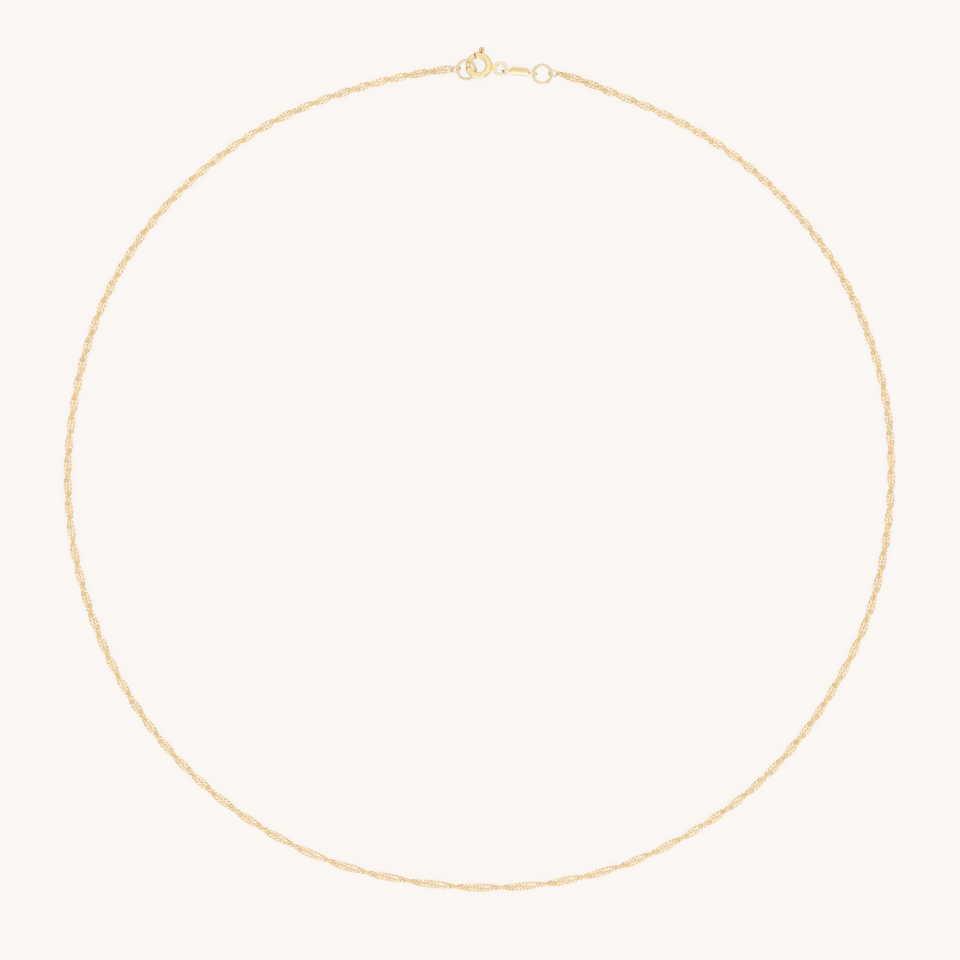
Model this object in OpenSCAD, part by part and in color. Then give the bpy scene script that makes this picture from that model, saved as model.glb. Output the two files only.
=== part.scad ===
// A fine gold curb chain twisted along its length, laid flat in a loop and closed by a spring ring clasp.
// X runs to the right, Y away from the wearer's front towards the clasp, and Z up from the table.
// Angles along the chain run clockwise from the clasp. Angles on the clasp run anticlockwise from +X.

/* [Chain] */
// Width of the twisted chain, which is also how high it stands off the table
chain_w = 1.45; // [1.2:0.05:1.8]
// Where the chain starts, after its link at the tag's end
chain_from = 11.1; // [11.1:0.1:20]
// Where the chain stops, before its link at the clasp's end
chain_to = 355.7; // [340:0.1:355.7]
// Wire of the round link at each end of the chain
end_wire = 0.28; // [0.25:0.01:0.3]
// Outside diameter of that link
end_link_d = 1.86; // [1.84:0.01:1.88]
// Lean of the left end link away from upright
left_lean = 45; // [44.5:0.5:45.5]
// Lean of the right end link away from upright
right_lean = 35; // [33:0.5:37]

/* [Jump rings] */
// Wire of both jump rings
ring_wire = 0.43; // [0.36:0.01:0.44]
// Outside diameter of the round jump ring between the tag and the chain
ring_d = 3.65; // [3.5:0.01:3.7]
// Outside width of the oval jump ring on the clasp
oval_w = 3.56; // [3.54:0.01:3.58]
// Outside length of the oval jump ring
oval_l = 4.04; // [4:0.01:4.08]
// Slope of the oval ring, which lies over the bolt and under the clasp's tube
oval_tilt = 25.8; // [25.6:0.1:26]

/* [Clasp] */
// Outside diameter of the clasp
clasp_d = 4.75; // [4.7:0.01:4.8]
// Diameter of its tube
tube_d = 1.1; // [1:0.01:1.12]
// Bore of the tube
bore_d = 0.92; // [0.9:0.01:0.94]
// Diameter of the bolt that slides in the tube
bolt_d = 0.86; // [0.78:0.01:0.88]
// Where the tube's mouth is, with the bolt coming out of it
mouth_at = 109; // [105:1:112]
// Where the bolt's tip enters the tube again
socket_at = 195; // [190:1:200]
// Where the trigger stands when the clasp is shut
trigger_at = 78.4; // [76:0.1:82]
// How far the trigger draws the bolt back
travel = 58; // [40:1:58]
// Diameter of the trigger's knob
knob_d = 0.95; // [0.8:0.01:1]
// Outside diameter of the eye soldered to the clasp
eye_d = 2.57; // [2.4:0.01:2.6]
// Wire of the eye
eye_wire = 0.53; // [0.45:0.01:0.55]

/* [Tag] */
// Length of the tag between the middles of its two loops
tag_span = 4.64; // [4.6:0.01:4.66]
// Length of the plate along its full width
plate_l = 2.76; // [2.4:0.01:2.8]
// Width of the plate across its arch
plate_w = 1.65; // [1.5:0.05:1.8]
// Thickness of the plate
plate_t = 0.22; // [0.18:0.01:0.3]
// Outside diameter of the two loops
loop_d = 1.64; // [1.6:0.01:1.66]
// Wire of the two loops
loop_wire = 0.36; // [0.3:0.01:0.38]

/* [Hidden] */
$fn = 48;
gold = [0.93, 0.83, 0.62];
bright_gold = [0.97, 0.9, 0.73];

// Distance from the middle of the loop to the chain, every 10 degrees
route_step = 10;
route_r = [
    72.9, 73.1, 72.2, 72.4, 72.8, 73.1,
    73.3, 73.2, 73.0, 72.6, 72.5, 72.6,
    72.5, 72.6, 72.7, 72.6, 72.6, 72.3,
    72.0, 71.9, 72.3, 72.5, 72.6, 72.7,
    72.7, 72.6, 72.7, 72.8, 72.9, 73.3,
    73.6, 73.6, 73.3, 73.0, 72.5, 72.5];

// The chain's envelope has eight sides and stands on one of them
chain_rings = 80;
chain_sides = 8;
chain_z = chain_w / 2;
chain_corner = chain_w / 2 / cos(180 / chain_sides);

// Places of the small parts, from the middle of the loop
clasp_at = [-0.27, 73.17, 0.934];
clasp_tilt = [-8.2, 3.5, 0];
clasp_r = (clasp_d - tube_d) / 2;
eye_at = -8.6;
eye_x = 3.93;
eye_r = (eye_d - eye_wire) / 2;
neck_t = 0.5;
neck_half_in = 0.78;
neck_half_out = 0.6;
knob_x = clasp_d / 2 + knob_d / 2 + 0.06;
post_d = 0.26;
slot_w = 0.34;
slot_margin = 4;
bolt_tail_at = trigger_at - 24;
bolt_tip_at = socket_at + 3;

oval_at = [-2.385, 72.41, 1.01];
oval_turn = 20;
ring_at = [10.99, 71.68, 0.73];

tag_at = [6.98, 71.965, loop_d / 2];
tag_turn = -5.35;
loop_r = (loop_d - loop_wire) / 2;
arch_r = 1.2;
arch_top = 0.15;
plate_roll = 26;
plate_aside = 0.08;
plate_end_l = 0.48;
plate_end_w = 0.5;

end_r = (end_link_d - end_wire) / 2;
link_left_at = [-4.25, 72.52, 0.98];
link_left_turn = [0, -33.5, -8];
link_right_at = [12.96, 71.78, 0.82];
link_right_turn = [0, 0, -6];

// A smooth curve through the radii, from the four nearest ones
function radius_near(i) = route_r[(i + len(route_r)) % len(route_r)];
function blend(a, b, c, d, t) =
    b + t * (c - a + t * (2 * a - 5 * b + 4 * c - d + t * (3 * b - a - 3 * c + d))) / 2;
function radius_at(angle) =
    let (i = floor(angle / route_step))
    blend(radius_near(i - 1), radius_near(i), radius_near(i + 1), radius_near(i + 2),
        angle / route_step - i);
function chain_point(angle, out, up) =
    [(radius_at(angle) + out) * sin(angle), (radius_at(angle) + out) * cos(angle), chain_z + up];
function ring_angle(i) = chain_from + (chain_to - chain_from) * i / (chain_rings - 1);
function corner_angle(j) = 360 * (j + 0.5) / chain_sides;

chain_points = [for (i = [0 : chain_rings - 1], j = [0 : chain_sides - 1])
    chain_point(ring_angle(i), chain_corner * cos(corner_angle(j)), chain_corner * sin(corner_angle(j)))];
last_ring = (chain_rings - 1) * chain_sides;

// The model's origin is under the middle of its box
knob_top = clasp_at[1] + knob_x * sin(trigger_at) * cos(clasp_tilt[0]) + knob_d / 2;
box_x = (max([for (p = chain_points) p[0]]) + min([for (p = chain_points) p[0]])) / 2;
box_y = (knob_top + min([for (p = chain_points) p[1]])) / 2;

module ring(radius, wire) {
    rotate_extrude()
        translate([radius, 0])
            circle(d = wire);
}

module rod_arc(radius, d, from, to) {
    rotate([0, 0, from])
        rotate_extrude(angle = to - from)
            translate([radius, 0])
                circle(d = d);
}

module on_table() {
    translate([-box_x, -box_y, 0])
        children();
}

module on_clasp() {
    on_table()
        translate(clasp_at)
            rotate(clasp_tilt)
                children();
}

// The space the twisted links fill, swept along the route
module chain() {
    color(gold)
        on_table()
            polyhedron(
                points = chain_points,
                faces = concat(
                    [[for (j = [0 : chain_sides - 1]) j]],
                    [[for (j = [0 : chain_sides - 1]) last_ring + chain_sides - 1 - j]],
                    [for (i = [0 : chain_rings - 2], j = [0 : chain_sides - 1])
                        let (a = i * chain_sides, b = a + chain_sides, k = (j + 1) % chain_sides)
                        [a + j, b + j, b + k, a + k]]
                ),
                convexity = 10);
}

// A closed round link that hooks the chain to a jump ring
module end_link(at, turn, lean) {
    color(gold)
        on_table()
            translate(at)
                rotate(turn)
                    rotate([90 - lean, 0, 0])
                        ring(end_r, end_wire);
}

module end_link_left() {
    end_link(link_left_at, link_left_turn, -left_lean);
}

module end_link_right() {
    end_link(link_right_at, link_right_turn, right_lean);
}

// The oval ring is two half rings joined by short straight wires
module jump_ring_left() {
    bend_r = (oval_w - ring_wire) / 2;
    straight = oval_l - oval_w;
    color(bright_gold)
        on_table()
            translate(oval_at)
                rotate([oval_tilt, 0, oval_turn]) {
                    translate([0, straight / 2, 0])
                        rod_arc(bend_r, ring_wire, 0, 180);
                    translate([0, -straight / 2, 0])
                        rod_arc(bend_r, ring_wire, 180, 360);
                    for (side = [-1, 1])
                        translate([side * bend_r, 0, 0])
                            rotate([90, 0, 0])
                                cylinder(d = ring_wire, h = straight, center = true);
                }
}

module jump_ring_right() {
    color(bright_gold)
        on_table()
            translate(ring_at)
                ring((ring_d - ring_wire) / 2, ring_wire);
}

// The hollow tube runs from its socket round to its mouth
module clasp_tube() {
    rotate([0, 0, socket_at])
        rotate_extrude(angle = 360 + mouth_at - socket_at)
            translate([clasp_r, 0])
                difference() {
                    circle(d = tube_d);
                    circle(d = bore_d);
                }
}

// The solder that joins the eye to the tube
module eye_neck() {
    tube_side = (clasp_r + bore_d / 2 + clasp_d / 2) / 2;
    eye_side = eye_x - eye_r;
    linear_extrude(height = neck_t, center = true)
        difference() {
            polygon([
                [clasp_r, -neck_half_in], [eye_side, -neck_half_out],
                [eye_side, neck_half_out], [clasp_r, neck_half_in]]);
            circle(r = tube_side);
        }
}

// The slot along the outer rim that the trigger slides in
module trigger_slot() {
    from = trigger_at - travel - slot_margin;
    rotate([0, 0, from])
        rotate_extrude(angle = travel + 2 * slot_margin)
            translate([clasp_r + bore_d / 4, -slot_w / 2])
                square([tube_d, slot_w]);
}

module clasp_ring() {
    color(gold)
        on_clasp()
            difference() {
                union() {
                    clasp_tube();
                    rotate([0, 0, eye_at]) {
                        eye_neck();
                        translate([eye_x, 0, 0])
                            ring(eye_r, eye_wire);
                    }
                }
                trigger_slot();
            }
}

// The sprung bolt, with the trigger's post and knob fixed to it
module clasp_bolt() {
    color(bright_gold)
        on_clasp() {
            rod_arc(clasp_r, bolt_d, bolt_tail_at, bolt_tip_at);
            rotate([0, 0, trigger_at]) {
                translate([clasp_r, 0, 0])
                    rotate([0, 90, 0])
                        cylinder(d = post_d, h = knob_x - clasp_r);
                translate([knob_x, 0, 0])
                    sphere(d = knob_d);
            }
        }
}

// The plate's arched section: x across the tag and y up
module arch_section() {
    half = asin(plate_w / 2 / arch_r);
    reach = 2 * arch_r;
    translate([0, arch_top - arch_r])
        intersection() {
            difference() {
                circle(r = arch_r);
                circle(r = arch_r - plate_t);
            }
            polygon([
                [0, 0], [reach * sin(half), reach * cos(half)],
                [0, reach], [-reach * sin(half), reach * cos(half)]]);
        }
}

// The plate seen from above, full width with a short taper at each end
module plate_outline() {
    tip = plate_l / 2 + plate_end_l;
    polygon([
        [-tip, -plate_end_w / 2], [-plate_l / 2, -plate_w / 2],
        [plate_l / 2, -plate_w / 2], [tip, -plate_end_w / 2],
        [tip, plate_end_w / 2], [plate_l / 2, plate_w / 2],
        [-plate_l / 2, plate_w / 2], [-tip, plate_end_w / 2]]);
}

// The plate lies rolled towards the front on its two upright loops
module tag() {
    color(gold)
        on_table()
            translate(tag_at)
                rotate([0, 0, tag_turn]) {
                    translate([0, plate_aside, 0])
                        rotate([plate_roll, 0, 0])
                            intersection() {
                                rotate([90, 0, 90])
                                    linear_extrude(height = tag_span, center = true)
                                        arch_section();
                                linear_extrude(height = loop_d, center = true)
                                    plate_outline();
                            }
                    for (side = [-1, 1])
                        translate([side * tag_span / 2, 0, 0])
                            rotate([90, 0, 0])
                                ring(loop_r, loop_wire);
                }
}

chain();
end_link_left();
end_link_right();
jump_ring_left();
jump_ring_right();
clasp_ring();
clasp_bolt();
tag();
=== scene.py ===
import math
import random

import bmesh
import bpy
from mathutils import Euler, Matrix, Vector


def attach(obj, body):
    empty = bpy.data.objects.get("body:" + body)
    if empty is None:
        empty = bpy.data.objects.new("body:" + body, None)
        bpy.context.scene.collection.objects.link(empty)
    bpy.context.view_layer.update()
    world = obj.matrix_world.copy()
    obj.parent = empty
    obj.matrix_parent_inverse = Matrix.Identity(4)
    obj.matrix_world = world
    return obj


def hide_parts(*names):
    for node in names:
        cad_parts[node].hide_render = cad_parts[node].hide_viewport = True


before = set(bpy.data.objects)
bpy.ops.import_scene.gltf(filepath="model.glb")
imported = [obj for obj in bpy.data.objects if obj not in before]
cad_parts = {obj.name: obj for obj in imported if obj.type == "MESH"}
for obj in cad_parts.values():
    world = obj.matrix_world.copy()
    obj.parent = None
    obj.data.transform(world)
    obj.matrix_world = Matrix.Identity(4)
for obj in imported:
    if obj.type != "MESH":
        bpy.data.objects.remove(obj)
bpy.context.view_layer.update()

# The table is a pale acrylic sheet lit from below, so that the necklace lies on it almost without a
# shadow. The room is one large soft light with a window low in front of the necklace, and what the gold
# mirrors below the level of the table is dimmer, apart from that window's glow.
mm = 0.001
table_size = 6.0
table_colour = (0.965, 0.930, 0.905, 1)
table_glow = 0.873
sheet_white = (0.117, 0.113, 0.110, 1)
sheet_cloud = (0.120, 0.116, 0.113, 1)
sheet_cloud_scale = 9.0
sheet_rough = 0.6
room_colour = (1.0, 0.975, 0.945, 1)
room_level = 1.08
overhead_dip = 0.12
window_colour = (1.06, 1.20, 1.62, 1)
low_colour = (0.62, 0.59, 0.56, 1)
low_window_colour = (0.89, 1.01, 1.20, 1)
backdrop_level = 0.93
# Where each light begins and where it is full, as the direction's share towards it
window_edges = (0.72, 0.80)
low_window_edges = (0.80, 0.92)
below_edges = (0.0, 0.01)
overhead_edges = (0.90, 0.98)


class Shade:
    """One socket of a material. Sums and products of these add the Math nodes that work them out."""

    def __init__(self, tree, socket=None):
        self.tree = tree
        self.socket = socket

    def node(self, kind, sockets, output=0, **settings):
        """Adds a node of that kind: its settings first, then the values or links of its sockets."""
        made = self.tree.nodes.new(kind)
        for name, value in settings.items():
            setattr(made, name, value)
        for name, value in sockets.items():
            if isinstance(value, Shade):
                self.tree.links.new(value.socket, made.inputs[name])
            else:
                made.inputs[name].default_value = value
        return Shade(self.tree, made.outputs[output] if made.outputs else None)

    def maths(self, operation, first, second):
        return self.node("ShaderNodeMath", {0: first, 1: second}, operation=operation)

    def part(self, axis):
        """The vector's X, Y or Z, as 0, 1 or 2."""
        return self.node("ShaderNodeSeparateXYZ", {"Vector": self}, output=axis)

    def __add__(self, other):
        return self.maths("ADD", self, other)

    def __rsub__(self, other):
        return self.maths("SUBTRACT", other, self)

    def __mul__(self, other):
        return self.maths("MULTIPLY", self, other)

    __radd__ = __add__
    __rmul__ = __mul__

    def between(self, low, high):
        """0 below low, 1 above high, and a smooth step between them."""
        return self.node(
            "ShaderNodeMapRange", {"Value": self, "From Min": low, "From Max": high},
            interpolation_type="SMOOTHSTEP")

    def tint(self, first, second):
        """The first colour where this is 0 and the second where it is 1."""
        return self.node(
            "ShaderNodeMix", {"Factor": self, 6: first, 7: second}, output=2, data_type="RGBA")


def new_material(name):
    material = bpy.data.materials.new(name)
    material.use_nodes = True
    material.node_tree.nodes.clear()
    return material, Shade(material.node_tree)


def finish_material(paint, surface):
    paint.node("ShaderNodeOutputMaterial", {"Surface": surface})


def deselect_all():
    if bpy.context.mode != "OBJECT":
        bpy.ops.object.mode_set(mode="OBJECT")
    bpy.ops.object.select_all(action="DESELECT")


deselect_all()
bpy.ops.mesh.primitive_plane_add(size=table_size)
table = bpy.context.object
table.name = "light_table"
table_material, paint = new_material("lit_acrylic")
place = paint.node("ShaderNodeTexCoord", {}, output=3)
cloudy = paint.node("ShaderNodeTexNoise", {"Vector": place, "Scale": sheet_cloud_scale, "Detail": 2.0})
finish_material(
    paint,
    paint.node(
        "ShaderNodeBsdfPrincipled",
        {
            "Base Color": cloudy.tint(sheet_white, sheet_cloud),
            "Roughness": sheet_rough,
            "Specular IOR Level": 0.0,
            "Emission Color": table_colour,
            "Emission Strength": table_glow,
        },
    ),
)
table.data.materials.append(table_material)
table.visible_glossy = False

room = bpy.data.worlds.new("studio")
bpy.context.scene.world = room
room.use_nodes = True
room.node_tree.nodes.clear()
light = Shade(room.node_tree)
facing = light.node("ShaderNodeTexCoord", {}, output=0)
across, ahead, up = (facing.part(axis) for axis in (0, 1, 2))
window = (0 - ahead).between(*window_edges)
along_floor = light.maths("POWER", across * across + ahead * ahead, 0.5)
low_window = light.maths("DIVIDE", 0 - ahead, along_floor).between(*low_window_edges)
below = (0 - up).between(*below_edges)
upper_half = window.tint(room_colour, window_colour)
lower_half = low_window.tint(low_colour, low_window_colour)
shown = below.tint(upper_half, lower_half)
level = room_level - overhead_dip * up.between(*overhead_edges)
seen = light.node("ShaderNodeLightPath", {}, output=0)
studio = light.node("ShaderNodeBackground", {"Color": shown, "Strength": level})
backdrop = light.node("ShaderNodeBackground", {"Color": table_colour, "Strength": backdrop_level})
mixed = light.node("ShaderNodeMixShader", {0: seen, 1: studio, 2: backdrop})
light.node("ShaderNodeOutputWorld", {"Surface": mixed})
bpy.context.scene.view_settings.view_transform = "Standard"

# The camera hangs over the middle of the loop and looks straight down through a long lens, so that the
# whole loop fills the square frame and no part of it leans.
loop_x = 0.078 * mm
loop_y = -1.884 * mm
frame_width = 169.5 * mm
lens = 200
sensor = 36
camera_reach = 20
chain_height = 0.725 * mm

camera_height = chain_height + frame_width * lens / sensor
camera_data = bpy.data.cameras.new("camera")
camera_data.lens = lens
camera_data.sensor_width = sensor
camera_data.clip_end = camera_reach
camera = bpy.data.objects.new("camera", camera_data)
camera.location = (loop_x, loop_y, camera_height)
bpy.context.scene.collection.objects.link(camera)
bpy.context.scene.camera = camera

# The chain: about 755 oval links of round gold wire, each passed through the two before it and soldered
# shut. The whole chain is twisted, and its links are cut with bright flats on both faces, so it glitters.
link_wire = 0.24 * mm
link_long = 1.73 * mm
link_wide = 1.45 * mm
link_pitch = 0.58 * mm
link_turn = -61
link_flat_at = 0.17 * mm
link_around = 14
link_sides = 6
link_play = 3
link_seed = 3
# The links at both ends of the chain, nearest the clasp, are more amber, with duller cuts
amber_links = 14
amber_tone = 1.4
amber_cut = 0.75
first_link_at = 11.20
last_link_at = 355.71
route_step = 10
route_r = [
    72.9, 73.1, 72.2, 72.4, 72.8, 73.1,
    73.3, 73.2, 73.0, 72.6, 72.5, 72.6,
    72.5, 72.6, 72.7, 72.6, 72.6, 72.3,
    72.0, 71.9, 72.3, 72.5, 72.6, 72.7,
    72.7, 72.6, 72.7, 72.8, 72.9, 73.3,
    73.6, 73.6, 73.3, 73.0, 72.5, 72.5]
# Half turns of the twist, counted along the chain: the angle from the clasp and the count there
half_turns = [
    (11.2, 1.1), (12.1, 1.2), (14.5, 2.0), (20, 4.1), (30, 7.7), (40, 11.2), (50, 14.8),
    (60, 18.8), (70, 22.5), (80, 26.0), (90, 29.6), (100, 33.1), (110, 36.2),
    (120, 39.2), (130, 42.3), (140, 45.1), (150, 47.9), (160, 50.0), (170, 51.9),
    (180, 53.5), (190, 55.0), (200, 56.7), (210, 58.6), (220, 60.8), (230, 63.6),
    (240, 66.5), (250, 69.6), (260, 72.6), (270, 75.8), (280, 79.3), (290, 82.9),
    (300, 86.4), (310, 90.2), (320, 94.3), (330, 97.9), (340, 101.3), (350, 105.0),
    (352.6, 105.9), (355.9, 106.8)]
# The twist hurries over the edges and lingers on the flats, as the chain lies
twist_ease = 0.2
# Degrees to each side of a link between which the route's direction is taken
route_nudge = 0.01
cut_gold = (0.99, 0.88, 0.605, 1)
wire_gold = (0.985, 0.84, 0.56, 1)
worn_gold = (0.93, 0.745, 0.43, 1)
# Painted shade: the wire along each link's long sides, which lie at the chain's edges, is a deeper amber
painted_edge_shade_gold = (0.92, 0.69, 0.355, 1)
painted_edge_shade_edges = (0.70, 1.0)
wire_grain_scale = 6000.0
wire_grain_depth = 0.01 * mm
cut_rough = 0.12
worn_rough = 0.08
uncut_rough = 0.12
# A bisected corner nearer the plane than this counts as on it
on_plane = 1e-8
# A test for what lies at a measure is set just inside it
just_inside = 0.999


def pick(piece, test):
    """Selects the corners whose place passes the test, in edit mode."""
    bpy.ops.object.mode_set(mode="EDIT")
    bpy.context.tool_settings.mesh_select_mode = (True, False, False)
    bpy.ops.mesh.select_all(action="DESELECT")
    shape = bmesh.from_edit_mesh(piece.data)
    for corner in shape.verts:
        corner.select = test(corner.co)
    shape.select_flush_mode()
    bmesh.update_edit_mesh(piece.data)


def add_modifier(piece, kind, **settings):
    """Adds a modifier with its settings and applies it."""
    if bpy.context.mode != "OBJECT":
        bpy.ops.object.mode_set(mode="OBJECT")
    modifier = piece.modifiers.new(kind, kind)
    for name, value in settings.items():
        setattr(modifier, name, value)
    bpy.ops.object.modifier_apply(modifier=modifier.name)


def route_radius(angle):
    """Distance from the middle of the loop to the chain, on a smooth curve through the nearest four radii."""
    step = math.floor(angle / route_step)
    a, b, c, d = (route_r[(step + near) % len(route_r)] for near in (-1, 0, 1, 2))
    t = angle / route_step - step
    return mm * (b + t * (c - a + t * (2 * a - 5 * b + 4 * c - d + t * (3 * b - a - 3 * c + d))) / 2)


def route_point(angle):
    turn = math.radians(angle)
    radius = route_radius(angle)
    return Vector((loop_x + radius * math.sin(turn), loop_y + radius * math.cos(turn), chain_height))


def twist_at(angle):
    """How far the links are turned about the chain there, in radians. At a whole count they stand on edge."""
    step = max(near for near in range(len(half_turns) - 1) if near == 0 or half_turns[near][0] <= angle)
    (start, before), (end, after) = half_turns[step:step + 2]
    count = before + (after - before) * (angle - start) / (end - start)
    return math.pi * (count + 0.5) + twist_ease * math.sin(2 * math.pi * count)


def even_angles():
    """The angles of the links, so that the links are the same distance apart along the route."""
    steps = 20000
    angles = [first_link_at + (last_link_at - first_link_at) * i / steps for i in range(steps + 1)]
    points = [route_point(angle) for angle in angles]
    along = [0.0]
    for before, after in zip(points, points[1:]):
        along.append(along[-1] + (after - before).length)
    links = round(along[-1] / link_pitch)
    found, step = [], 0
    for link in range(links + 1):
        wanted = along[-1] * link / links
        while step < steps - 1 and along[step + 1] < wanted:
            step += 1
        part = (wanted - along[step]) / (along[step + 1] - along[step])
        found.append(angles[step] + part * (angles[step + 1] - angles[step]))
    return found


deselect_all()
bpy.ops.mesh.primitive_torus_add(
    major_segments=link_around, minor_segments=link_sides,
    major_radius=(link_wide - link_wire) / 2, minor_radius=link_wire / 2)
link = bpy.context.object
# Only the wire's path is stretched, so that the wire stays round at the link's tips
for corner in link.data.vertices:
    corner.co.x += (link_long - link_wide) / 2 * math.cos(math.atan2(corner.co.y, corner.co.x))
add_modifier(
    link, "SIMPLE_DEFORM", deform_method="TWIST", deform_axis="X", angle=math.radians(link_turn))
for side in (1, -1):
    pick(link, lambda corner: True)
    bpy.ops.mesh.bisect(
        plane_co=(0, 0, side * link_flat_at), plane_no=(0, 0, side),
        clear_outer=True, use_fill=True, threshold=on_plane)
bpy.ops.object.mode_set(mode="OBJECT")
on_cut = link.data.attributes.new("cut_face", "FLOAT", "POINT")
# Each corner's share of the way out to the link's long sides, which marks where the edge shade is painted
painted_edge_shade_mark = link.data.attributes.new("link_painted_edge_shade", "FLOAT", "POINT")
for corner in link.data.vertices:
    on_cut.data[corner.index].value = 1.0 if abs(corner.co.z) > link_flat_at * just_inside else 0.0
    painted_edge_shade_mark.data[corner.index].value = math.hypot(corner.co.y, corner.co.z) / (link_wide / 2)

play = random.Random(link_seed)
chain_shape = bmesh.new()
tone = chain_shape.verts.layers.float.new("link_tone")
link_angles = even_angles()
for count, angle in enumerate(link_angles):
    start = len(chain_shape.verts)
    forward = (route_point(angle + route_nudge) - route_point(angle - route_nudge)).normalized()
    outward = Vector((0, 0, 1)).cross(forward)
    facing_along = Matrix((forward, outward, (0, 0, 1))).transposed().to_4x4()
    loose = link_play if 1 < count < len(link_angles) - 2 else 0
    roll = Matrix.Rotation(twist_at(angle) + math.radians(play.uniform(-loose, loose)), 4, "X")
    copy = link.data.copy()
    copy.transform(Matrix.Translation(route_point(angle)) @ facing_along @ roll)
    shade = play.random()
    if count < amber_links or count > len(link_angles) - amber_links:
        shade = amber_tone
        for face in copy.attributes["cut_face"].data:
            face.value *= amber_cut
    chain_shape.from_mesh(copy)
    chain_shape.verts.ensure_lookup_table()
    for corner in chain_shape.verts[start:]:
        corner[tone] = shade
    bpy.data.meshes.remove(copy)
chain_mesh = bpy.data.meshes.new("chain_links")
chain_shape.to_mesh(chain_mesh)
chain_shape.free()
bpy.data.objects.remove(link)
chain = bpy.data.objects.new("chain_links", chain_mesh)
bpy.context.scene.collection.objects.link(chain)


def marked(paint, name):
    """A mark left on the corners of a piece's mesh, by its name."""
    return paint.node("ShaderNodeAttribute", {}, output=2, attribute_name=name)


def finish_gold(paint, colour, roughness, relief, strength, depth):
    """Bare metal with a fine relief in its surface."""
    bump = paint.node("ShaderNodeBump", {"Height": relief, "Strength": strength, "Distance": depth})
    metal = {"Base Color": colour, "Metallic": 1.0, "Roughness": roughness, "Normal": bump}
    finish_material(paint, paint.node("ShaderNodeBsdfPrincipled", metal))


chain_material, paint = new_material("diamond_cut_gold")
place = paint.node("ShaderNodeTexCoord", {}, output=3)
grain = paint.node("ShaderNodeTexNoise", {"Vector": place, "Scale": wire_grain_scale, "Detail": 3.0})
bright = marked(paint, "cut_face").between(0.5, 1.0)
warm = (marked(paint, "link_tone") * 0.5 + grain * 0.5).between(0.2, 0.8)
# Painted shade: deeper amber towards each link's long sides, along the chain's edges
at_painted_edge_shade = marked(paint, "link_painted_edge_shade").between(*painted_edge_shade_edges)
wire = at_painted_edge_shade.tint(warm.tint(wire_gold, worn_gold), painted_edge_shade_gold)
gold = bright.tint(wire, cut_gold)
rough = cut_rough + worn_rough * warm + uncut_rough * (1 - bright)
finish_gold(paint, gold, rough, grain, strength=0.25, depth=wire_grain_depth)
chain.data.materials.append(chain_material)
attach(chain, "necklace")
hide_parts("chain")

# The end links: a round link of drawn gold wire closes each end of the chain, its joint soldered and filed
# nearly smooth. Both lean on their neighbours.
end_wire = 0.28 * mm
end_radius = 0.79 * mm
end_links = {
    "end_link_left": {"at": (-4.25, 72.52, 0.98), "turn": (0, -33.5, -8), "lean": 135, "solder_at": 250},
    "end_link_right": {"at": (12.96, 71.78, 0.82), "turn": (0, 0, -6), "lean": 55, "solder_at": 80},
}
# How far the filed joint swells: places along the wire and the share of its width there
filed_joint = [(-0.11 * mm, 1.03), (0.0, 1.07), (0.11 * mm, 1.03)]
end_gold = (0.91, 0.765, 0.495, 1)
end_gold_deep = (0.86, 0.69, 0.415, 1)
die_line_stretch = (5.0, 45.0, 1.0)
die_line_depth = 0.006 * mm
wear_scale = 1500.0
wear_edges = (0.35, 0.65)
drawn_rough = 0.26
drawn_rough_worn = 0.12
smooth_under = 40
# Corners nearer to each other than this are one
one_corner = 1e-7


def turned(degrees):
    """A turn about X, then Y, then Z."""
    return Euler([math.radians(angle) for angle in degrees], "XYZ").to_matrix().to_4x4()


def from_loop(place):
    """A place measured from the middle of the necklace's loop, in millimetres."""
    return Matrix.Translation((loop_x + place[0] * mm, loop_y + place[1] * mm, place[2] * mm))


def seat(piece, name, place):
    """Names a finished piece, smooths it and moves its mesh to its place."""
    if bpy.context.mode != "OBJECT":
        bpy.ops.object.mode_set(mode="OBJECT")
    piece.name = name
    piece.data.name = name
    piece.data.transform(place)
    deselect_all()
    piece.select_set(True)
    bpy.context.view_layer.objects.active = piece
    bpy.ops.object.shade_smooth_by_angle(angle=math.radians(smooth_under))


def wire_ring(radius, wire, around, sides):
    """A closed ring of round wire, lying flat at the origin."""
    deselect_all()
    bpy.ops.mesh.primitive_torus_add(
        major_segments=around, minor_segments=sides, major_radius=radius, minor_radius=wire / 2)
    return bpy.context.object


def narrow_at(piece, radius, angle, shares):
    """Bisects a ring of wire beside one place and draws its sections there in or out by those shares."""
    turn = math.radians(angle)
    middle = Vector((math.cos(turn), math.sin(turn), 0)) * radius
    along = Vector((-math.sin(turn), math.cos(turn), 0))
    this_side = radius * 0.7
    for offset, share in shares:
        place = middle + along * offset
        pick(piece, lambda corner: (corner - middle).length < this_side)
        bpy.ops.mesh.bisect(plane_co=place, plane_no=along, threshold=on_plane)
        pick(piece, lambda corner: (
            (corner - middle).length < this_side and abs((corner - place).dot(along)) < one_corner))
        bpy.ops.transform.resize(value=(share, share, share), center_override=place)
    bpy.ops.object.mode_set(mode="OBJECT")


def drawn_wire_material(name, gold, gold_deep):
    """Gold wire with fine lines along it from the die, and cloudy wear."""
    material, paint = new_material(name)
    along_wire = paint.node("ShaderNodeTexCoord", {}, output=2)
    place = paint.node("ShaderNodeTexCoord", {}, output=3)
    stretched = paint.node(
        "ShaderNodeVectorMath", {0: along_wire, 1: die_line_stretch}, operation="MULTIPLY")
    die_lines = paint.node("ShaderNodeTexNoise", {"Vector": stretched, "Scale": 1.0, "Detail": 3.0})
    patches = paint.node("ShaderNodeTexNoise", {"Vector": place, "Scale": wear_scale, "Detail": 3.0})
    worn = (patches * 0.7 + die_lines * 0.3).between(*wear_edges)
    rough = drawn_rough + drawn_rough_worn * worn
    finish_gold(
        paint, worn.tint(gold, gold_deep), rough, die_lines, strength=0.25, depth=die_line_depth)
    return material


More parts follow.
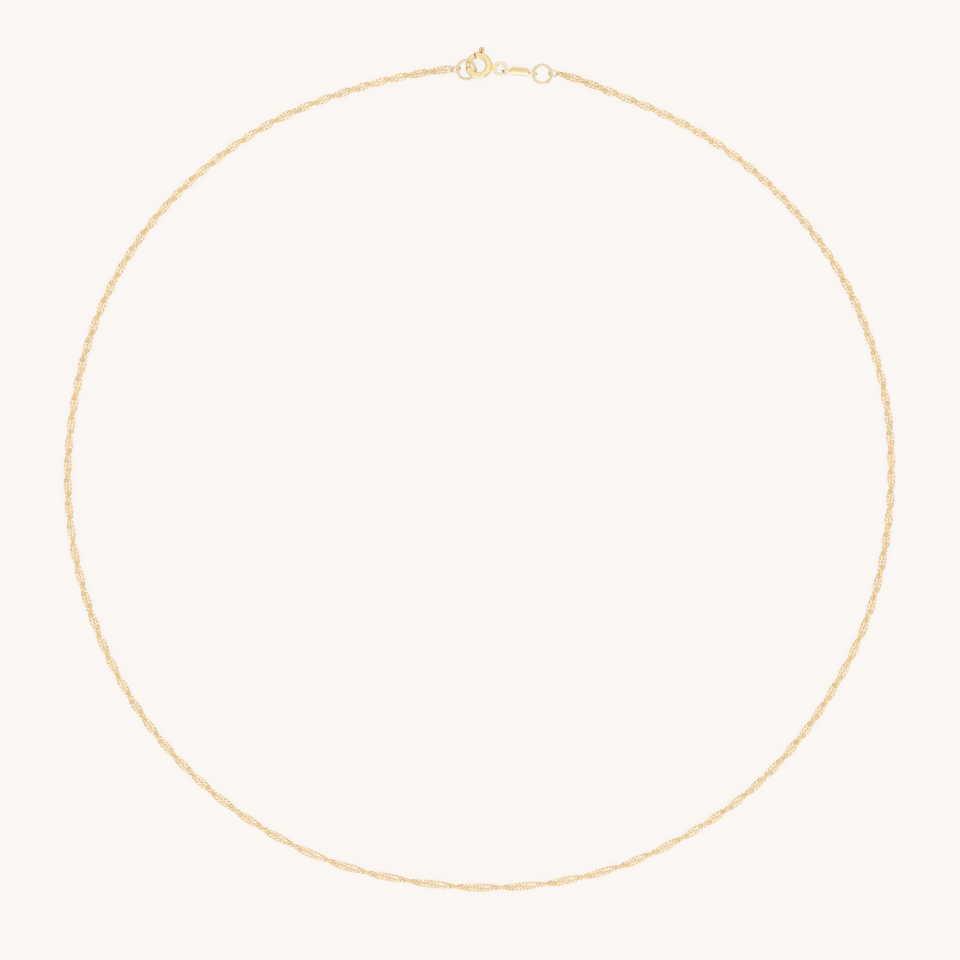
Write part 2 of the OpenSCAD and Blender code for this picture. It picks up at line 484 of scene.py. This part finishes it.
end_material = drawn_wire_material("end_link_gold", end_gold, end_gold_deep)
for name, lie in end_links.items():
    piece = wire_ring(end_radius, end_wire, 48, 14)
    narrow_at(piece, end_radius, lie["solder_at"], filed_joint)
    seat(piece, name + "_wire", from_loop(lie["at"]) @ turned(lie["turn"]) @ turned((lie["lean"], 0, 0)))
    piece.data.materials.append(end_material)
    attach(piece, "necklace")
    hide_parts(name)

# The jump rings: drawn gold wire cut from a coil and closed with pliers, so each shows a hairline where its
# ends meet. The left one is pulled oval and hangs in the clasp, the round one joins the tag to the chain.
ring_wire = 0.43 * mm
oval_bend = 1.565 * mm
oval_straight = 0.48 * mm
oval_at = (-2.385, 72.41, 1.01)
oval_turn = (25.8, 0, 20)
oval_joint_at = 205
round_radius = 1.61 * mm
round_at = (10.99, 71.68, 0.73)
round_joint_at = 305
# The hairline: places along the wire and the share of its width left there
hairline = [(-0.022 * mm, 1.0), (0.022 * mm, 1.0), (-0.012 * mm, 0.86), (0.012 * mm, 0.86), (0.0, 0.80)]
# The corners on the ring's own middle stay there when its halves are pulled apart
ring_middle = 0.001 * mm
drawn_gold = (0.85, 0.725, 0.465, 1)
drawn_gold_deep = (0.79, 0.65, 0.39, 1)

oval_ring = wire_ring(oval_bend, ring_wire, 72, 16)
narrow_at(oval_ring, oval_bend, oval_joint_at, hairline)
for side in (1, -1):
    pick(oval_ring, lambda corner: corner.y * side > ring_middle)
    bpy.ops.transform.translate(value=(0, side * oval_straight / 2, 0))
seat(oval_ring, "jump_ring_left_wire", from_loop(oval_at) @ turned(oval_turn))
round_ring = wire_ring(round_radius, ring_wire, 72, 16)
narrow_at(round_ring, round_radius, round_joint_at, hairline)
seat(round_ring, "jump_ring_right_wire", from_loop(round_at))
ring_material = drawn_wire_material("drawn_wire_gold", drawn_gold, drawn_gold_deep)
for piece, name in ((oval_ring, "jump_ring_left"), (round_ring, "jump_ring_right")):
    piece.data.materials.append(ring_material)
    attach(piece, "necklace")
    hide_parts(name)

# The clasp: a spring ring of thin gold tube, polished, with a slot along its outer rim for the trigger.
# The eye is a ring of round wire soldered to its side.
clasp_at = (-0.27, 73.17, 0.934)
clasp_tilt = (-8.2, 3.5, 0)
clasp_radius = 1.825 * mm
tube_radius = 0.55 * mm
tube_wall = 0.09 * mm
tube_sides = 20
tube_steps = 80
tube_round = 0.025 * mm
mouth_at = 109
socket_at = 195
slot_from = 16.4
slot_to = 82.0
slot_share = 0.95
eye_at = -8.6
eye_x = 3.93 * mm
eye_radius = 1.02 * mm
eye_wire = 0.53 * mm
solder_from = 2.31 * mm
solder_to = 2.98 * mm
solder_half_in = 0.78 * mm
solder_half_out = 0.60 * mm
solder_thick = 0.5 * mm
solder_round = 0.11 * mm
solder_waist = 0.12
polish_gold = (0.93, 0.775, 0.47, 1)
polish_gold_deep = (0.885, 0.71, 0.385, 1)
eye_gold = (0.92, 0.785, 0.545, 1)
# Painted shade: dark brown for the polish in the bolt's necks, the knob's groove and the tag's loops, and the
# shade there
polish_and_shade_brown = (0.32, 0.16, 0.04, 1)
stain_amber = (0.92, 0.66, 0.30, 1)
light_stain = 0.3
mouth_polish_and_shade = 1.0
socket_polish_and_shade = 0.72
haze_scale = 900.0
scratch_turn = 0.6
scratch_stretch = (900.0, 14000.0, 4000.0)
scratch_depth = 0.004 * mm
polish_rough = 0.07
polish_rough_worn = 0.09
polish_and_shade_rough = 0.40


def face_outwards(piece):
    """Merges the doubled corners of a piece and turns all its faces outwards."""
    pick(piece, lambda corner: True)
    bpy.ops.mesh.remove_doubles(threshold=one_corner)
    bpy.ops.mesh.normals_make_consistent(inside=False)
    bpy.ops.object.mode_set(mode="OBJECT")


def spun_rod(radius, thickness, sides, start, sweep, steps):
    """A round bar bent round the clasp's middle, open at both ends."""
    deselect_all()
    bpy.ops.mesh.primitive_circle_add(
        vertices=sides, radius=thickness, location=(radius, 0, 0), rotation=(math.pi / 2, 0, 0))
    rod = bpy.context.object
    bpy.ops.object.transform_apply(location=True, rotation=True, scale=True)
    rod.data.transform(Matrix.Rotation(math.radians(start), 4, "Z"))
    pick(rod, lambda corner: True)
    bpy.ops.mesh.spin(steps=steps, angle=-math.radians(sweep), center=(0, 0, 0), axis=(0, 0, 1))
    face_outwards(rod)
    return rod


def round_edges(piece, width, segments, over):
    """Bevels the edges that turn by more than so many degrees."""
    add_modifier(
        piece, "BEVEL", width=width, segments=segments,
        limit_method="ANGLE", angle_limit=math.radians(over))


def unite(piece, others, operation="UNION"):
    """Joins other closed shapes to a piece, or cuts them out of it, and takes them away."""
    for other in others:
        deselect_all()
        bpy.context.view_layer.objects.active = piece
        add_modifier(piece, "BOOLEAN", object=other, operation=operation, solver="EXACT")
        bpy.data.objects.remove(other)


def place_angle(place):
    """A place's angle about the clasp's middle, from 0 to 360 degrees."""
    return math.degrees(math.atan2(place.y, place.x)) % 360


clasp = spun_rod(clasp_radius, tube_radius, tube_sides, socket_at, 360 + mouth_at - socket_at, tube_steps)
slot_faces = bmesh.new()
slot_faces.from_mesh(clasp.data)
in_slot = []
for face in slot_faces.faces:
    middle = face.calc_center_median()
    on_rim = math.hypot(middle.x, middle.y) > clasp_radius + tube_radius * slot_share
    if on_rim and slot_from < place_angle(middle) < slot_to:
        in_slot.append(face)
bmesh.ops.delete(slot_faces, geom=in_slot, context="FACES")
slot_faces.to_mesh(clasp.data)
slot_faces.free()
add_modifier(clasp, "SOLIDIFY", thickness=tube_wall, offset=-1, use_even_offset=True)
round_edges(clasp, tube_round, 2, 55)
eye = wire_ring(eye_radius, eye_wire, 48, 16)
eye.data.transform(Matrix.Rotation(math.radians(eye_at), 4, "Z") @ Matrix.Translation((eye_x, 0, 0)))
deselect_all()
bpy.ops.mesh.primitive_cube_add(size=2)
solder = bpy.context.object
pick(solder, lambda corner: True)
bpy.ops.mesh.subdivide(number_cuts=3)
bpy.ops.object.mode_set(mode="OBJECT")
for corner in solder.data.vertices:
    out = (corner.co.x + 1) / 2
    half = solder_half_in + (solder_half_out - solder_half_in) * out
    corner.co.y *= half * (1 - solder_waist * math.sin(math.pi * out))
    corner.co.z *= solder_thick / 2
    tube_side = math.sqrt(solder_from ** 2 - corner.co.y ** 2)
    corner.co.x = tube_side + (solder_to - tube_side) * out
round_edges(solder, solder_round, 4, 50)
solder.data.transform(Matrix.Rotation(math.radians(eye_at), 4, "Z"))
unite(clasp, [eye, solder])
eye_part = clasp.data.attributes.new("eye_part", "FLOAT", "POINT")
# Painted shade: the tube's ends at the mouth and the socket are marked dark, for polish and the shade in the
# gap
polish_and_shade_mark = clasp.data.attributes.new("polish_and_painted_shade", "FLOAT", "POINT")
for corner in clasp.data.vertices:
    on_eye = math.hypot(corner.co.x, corner.co.y) > solder_to
    eye_part.data[corner.index].value = 1.0 if on_eye else 0.0
    at_mouth = abs(place_angle(corner.co) - mouth_at) < 1
    at_socket = abs(place_angle(corner.co) - socket_at) < 1
    polish_and_shade_mark.data[corner.index].value = mouth_polish_and_shade if at_mouth else socket_polish_and_shade if at_socket else 0.0
clasp_place = from_loop(clasp_at) @ turned(clasp_tilt)
seat(clasp, "clasp_tube_and_eye", clasp_place)

polished_material, paint = new_material("polished_gold")
place = paint.node("ShaderNodeTexCoord", {}, output=3)
groove = marked(paint, "polish_and_painted_shade")
pale = marked(paint, "eye_part")
haze = paint.node("ShaderNodeTexNoise", {"Vector": place, "Scale": haze_scale, "Detail": 4.0})
scratch_run = paint.node(
    "ShaderNodeMapping", {"Vector": place, "Rotation": (0.0, 0.0, scratch_turn), "Scale": scratch_stretch})
scratches = paint.node("ShaderNodeTexNoise", {"Vector": scratch_run, "Scale": 1.0, "Detail": 2.0})
worn = (haze * 0.8 + scratches * 0.2).between(*wear_edges)
clean = pale.tint(worn.tint(polish_gold, polish_gold_deep), eye_gold)
# Painted shade: marked places turn amber, then dark brown, for the polish left there and the shade in them
stained = groove.between(0.0, light_stain).tint(clean, stain_amber)
gold = groove.between(light_stain, 1.0).tint(stained, polish_and_shade_brown)
rough = polish_rough + polish_rough_worn * worn + polish_and_shade_rough * groove
finish_gold(paint, gold, rough, scratches, strength=0.15, depth=scratch_depth)
clasp.data.materials.clear()
clasp.data.materials.append(polished_material)
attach(clasp, "necklace")
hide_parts("clasp_ring")

# The bolt: a bent gold pin that the hidden spring pushes shut across the clasp's mouth. The trigger is a
# post and a small knob, drawn back with a fingernail in the groove, where polish has stayed; the groove
# is painted dark brown for that polish and for the shade in it.
bolt_radius = 0.43 * mm
bolt_from = 54.4
bolt_to = 198
bolt_round = 0.07 * mm
trigger_at = 78.4
knob_x = 2.92 * mm
knob_radius = 0.475 * mm
knob_narrow = 0.98
post_radius = 0.13 * mm
foot_radius = 0.39 * mm
foot_from = 2.415 * mm
foot_round = 0.06 * mm
groove_wide = 0.16 * mm
groove_deep = 0.25 * mm
groove_back = 0.6
groove_long = 1.6
# Narrow necks turned in the bolt, one beside each end of the tube when the clasp is shut, and how dark
# each is painted, for the polish left in it and the shade in the gap
necks = ((109.5, 114.0, mouth_polish_and_shade), (190.0, 194.5, socket_polish_and_shade))
neck_share = 0.80
neck_slope = 0.5
neck_margin = 0.4

bolt = spun_rod(clasp_radius, bolt_radius, 20, bolt_from, bolt_to - bolt_from, 44)
for end in (bolt_from, bolt_to):
    pick(bolt, lambda corner: abs(place_angle(corner) - end) < 0.5)
    bpy.ops.mesh.edge_face_add()
face_outwards(bolt)
round_edges(bolt, bolt_round, 3, 55)


def on_bend(angle, radius):
    """The place at that angle and distance from the clasp's middle."""
    turn = math.radians(angle)
    return Vector((math.cos(turn), math.sin(turn), 0)) * radius


def cross_cut(piece, angle):
    """Bisects the bent bar across one angle."""
    this_side = clasp_radius * 0.6
    pick(piece, lambda corner: (corner - on_bend(angle, clasp_radius)).length < this_side)
    bpy.ops.mesh.bisect(plane_co=(0, 0, 0), plane_no=on_bend(angle + 90, 1), threshold=on_plane)


for neck_from, neck_to, neck_polish_and_shade in necks:
    for angle in (neck_from, neck_from + neck_slope, neck_to - neck_slope, neck_to):
        cross_cut(bolt, angle)
    bpy.ops.object.mode_set(mode="OBJECT")
    for corner in bolt.data.vertices:
        if neck_from + neck_margin < place_angle(corner.co) < neck_to - neck_margin:
            middle = on_bend(place_angle(corner.co), clasp_radius)
            corner.co = middle + (corner.co - middle) * neck_share
deselect_all()
bpy.ops.mesh.primitive_cylinder_add(
    vertices=16, radius=post_radius, depth=knob_x - clasp_radius,
    location=((knob_x + clasp_radius) / 2, 0, 0), rotation=(0, math.pi / 2, 0))
post = bpy.context.object
bpy.ops.object.transform_apply(location=True, rotation=True, scale=True)
deselect_all()
bpy.ops.mesh.primitive_uv_sphere_add(segments=32, ring_count=20, radius=knob_radius, location=(knob_x, 0, 0))
knob = bpy.context.object
bpy.ops.object.transform_apply(location=True, rotation=True, scale=True)
pick(knob, lambda corner: True)
bpy.ops.transform.resize(value=(1, knob_narrow, knob_narrow), center_override=(knob_x, 0, 0))
bpy.ops.object.mode_set(mode="OBJECT")
deselect_all()
bpy.ops.mesh.primitive_cylinder_add(
    vertices=24, radius=foot_radius, depth=knob_x - foot_from,
    location=((knob_x + foot_from) / 2, 0, 0), rotation=(0, math.pi / 2, 0))
foot = bpy.context.object
bpy.ops.object.transform_apply(location=True, rotation=True, scale=True)
round_edges(foot, foot_round, 3, 50)
unite(knob, [foot])
deselect_all()
nick_at = (knob_x - groove_back * knob_radius, 0, knob_radius * knob_narrow)
bpy.ops.mesh.primitive_cube_add(size=1, location=nick_at)
nick = bpy.context.object
pick(nick, lambda corner: True)
bpy.ops.transform.resize(value=(groove_long * knob_radius, groove_wide, 2 * groove_deep))
bpy.ops.object.mode_set(mode="OBJECT")
bpy.ops.object.transform_apply(location=True, rotation=True, scale=True)
unite(knob, [nick], "DIFFERENCE")
for piece in (post, knob):
    piece.data.transform(Matrix.Rotation(math.radians(trigger_at), 4, "Z"))
unite(bolt, [post, knob])
knob_middle = on_bend(trigger_at, knob_x)
# Painted shade: the knob's groove and the bolt's necks are marked dark, for polish and shade; the knob has a
# light stain
polish_and_shade_mark = bolt.data.attributes.new("polish_and_painted_shade", "FLOAT", "POINT")
knob_out = on_bend(trigger_at, 1)
knob_aside = on_bend(trigger_at + 90, 1)
for corner in bolt.data.vertices:
    # The groove's floor and sides are taken with a little to spare
    from_middle = corner.co - knob_middle
    low = 0 < from_middle.z < knob_radius * knob_narrow - groove_deep * 0.9
    nicked = from_middle.dot(knob_out) < 0.25 * knob_radius
    in_groove = low and nicked and abs(from_middle.dot(knob_aside)) < groove_wide * 0.51
    from_clasp_middle = math.hypot(corner.co.x, corner.co.y)
    on_bar = from_clasp_middle < clasp_radius + 1.01 * bolt_radius
    on_knob = from_clasp_middle > foot_from * just_inside
    polish_and_shade_here = light_stain if on_knob else 0.0
    for neck_from, neck_to, neck_polish_and_shade in necks:
        if on_bar and neck_from + neck_margin < place_angle(corner.co) < neck_to - neck_margin:
            polish_and_shade_here = neck_polish_and_shade
    polish_and_shade_mark.data[corner.index].value = 1.0 if in_groove else polish_and_shade_here
seat(bolt, "clasp_bolt_and_trigger", clasp_place)
bolt.data.materials.clear()
bolt.data.materials.append(polished_material)
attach(bolt, "bolt")
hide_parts("clasp_bolt")

# The tag: a slip of gold sheet pressed to an arch across its width, with a loop of gold wire soldered to
# each end. Its face is left bare.
tag_at = (6.98, 71.965, 0.82)
tag_turn = (0, 0, -5.35)
tag_span = 4.64 * mm
plate_long = 2.76 * mm
plate_wide = 1.65 * mm
plate_thick = 0.22 * mm
plate_round = 0.05 * mm
plate_tip_long = 0.48 * mm
plate_tip_wide = 0.5 * mm
plate_roll = 26
plate_aside = 0.08 * mm
arch_radius = 1.2 * mm
arch_top = 0.15 * mm
tag_loop_radius = 0.64 * mm
tag_loop_wire = 0.36 * mm
sheet_gold = (0.85, 0.695, 0.43, 1)
sheet_gold_deep = (0.80, 0.63, 0.355, 1)
# Painted highlight: the plate's front side, towards the window, is painted paler, where it catches the light
painted_highlight_gold = (0.89, 0.735, 0.43, 1)
painted_highlight_under = 0.05 * mm
loop_gold = (0.95, 0.77, 0.56, 1)
# The polish and painted shade at the far end of the left loop and of the right one, and where they
# begin, as a share of the radius
loop_polish_and_shade = {-1: 0.8, 1: 0.35}
loop_polish_and_shade_from = 0.6
past_plate = 0.03 * mm
roll_turn = 0.09
roll_stretch = (700.0, 9000.0, 3000.0)
press_grain_scale = 5000.0
press_grain_depth = 0.006 * mm
pressed_rough = 0.14
pressed_rough_worn = 0.10

deselect_all()
bpy.ops.mesh.primitive_grid_add(x_subdivisions=34, y_subdivisions=16, size=1)
tag = bpy.context.object
pick(tag, lambda corner: True)
bpy.ops.transform.resize(value=(plate_long + 2 * plate_tip_long, plate_wide, 1))
bpy.ops.object.mode_set(mode="OBJECT")
for corner in tag.data.vertices:
    beyond = max(0.0, abs(corner.co.x) - plate_long / 2) / plate_tip_long
    corner.co.y *= 1 - beyond * (1 - plate_tip_wide / plate_wide)
    corner.co.z = arch_top - arch_radius + math.sqrt(arch_radius ** 2 - corner.co.y ** 2)
plate_lean = Matrix.Rotation(math.radians(plate_roll), 4, "X")
tag.data.transform(Matrix.Translation((0, plate_aside, 0)) @ plate_lean)
add_modifier(tag, "SOLIDIFY", thickness=plate_thick, offset=-1, use_even_offset=True)
round_edges(tag, plate_round, 3, 40)
loops = []
for side in (1, -1):
    loop = wire_ring(tag_loop_radius, tag_loop_wire, 40, 14)
    on_edge = Matrix.Rotation(math.pi / 2, 4, "X")
    loop.data.transform(Matrix.Translation((side * tag_span / 2, 0, 0)) @ on_edge)
    loops.append(loop)
unite(tag, loops)
# Painted highlight: the corners along the plate's front side carry the paler colour
painted_highlight_mark = tag.data.attributes.new("painted_highlight_lip", "FLOAT", "POINT")
loop_part = tag.data.attributes.new("loop_part", "FLOAT", "POINT")
# Painted shade: the loops' far ends are marked dark, for polish left there and the shade in the loops
polish_and_shade_mark = tag.data.attributes.new("polish_and_painted_shade", "FLOAT", "POINT")
for corner in tag.data.vertices:
    side = 1 if corner.co.x > 0 else -1
    beyond_plate = abs(corner.co.x) > plate_long / 2 + plate_tip_long + past_plate
    inside_ring = abs(corner.co.x) > tag_span / 2 + loop_polish_and_shade_from * tag_loop_radius
    painted_highlight_mark.data[corner.index].value = 1.0 if corner.co.y < painted_highlight_under else 0.0
    loop_part.data[corner.index].value = 1.0 if beyond_plate else 0.0
    polish_and_shade_mark.data[corner.index].value = loop_polish_and_shade[side] if inside_ring else 0.0
seat(tag, "stamped_tag", from_loop(tag_at) @ turned(tag_turn))

tag_material, paint = new_material("stamped_gold")
place = paint.node("ShaderNodeTexCoord", {}, output=3)
rolled = paint.node(
    "ShaderNodeMapping", {"Vector": place, "Rotation": (0.0, 0.0, roll_turn), "Scale": roll_stretch})
roll_lines = paint.node("ShaderNodeTexNoise", {"Vector": rolled, "Scale": 1.0, "Detail": 3.0})
press_grain = paint.node(
    "ShaderNodeTexNoise", {"Vector": place, "Scale": press_grain_scale, "Detail": 3.0})
worn = (roll_lines * 0.5 + press_grain * 0.5).between(*wear_edges)
# Painted highlight: paler along the plate's front side
face = marked(paint, "painted_highlight_lip").tint(worn.tint(sheet_gold, sheet_gold_deep), painted_highlight_gold)
clean = marked(paint, "loop_part").tint(face, loop_gold)
# Painted shade: dark brown at the far ends of the loops
gold = marked(paint, "polish_and_painted_shade").tint(clean, polish_and_shade_brown)
rough = pressed_rough + pressed_rough_worn * worn
finish_gold(paint, gold, rough, press_grain, strength=0.2, depth=press_grain_depth)
tag.data.materials.clear()
tag.data.materials.append(tag_material)
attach(tag, "necklace")
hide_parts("tag")
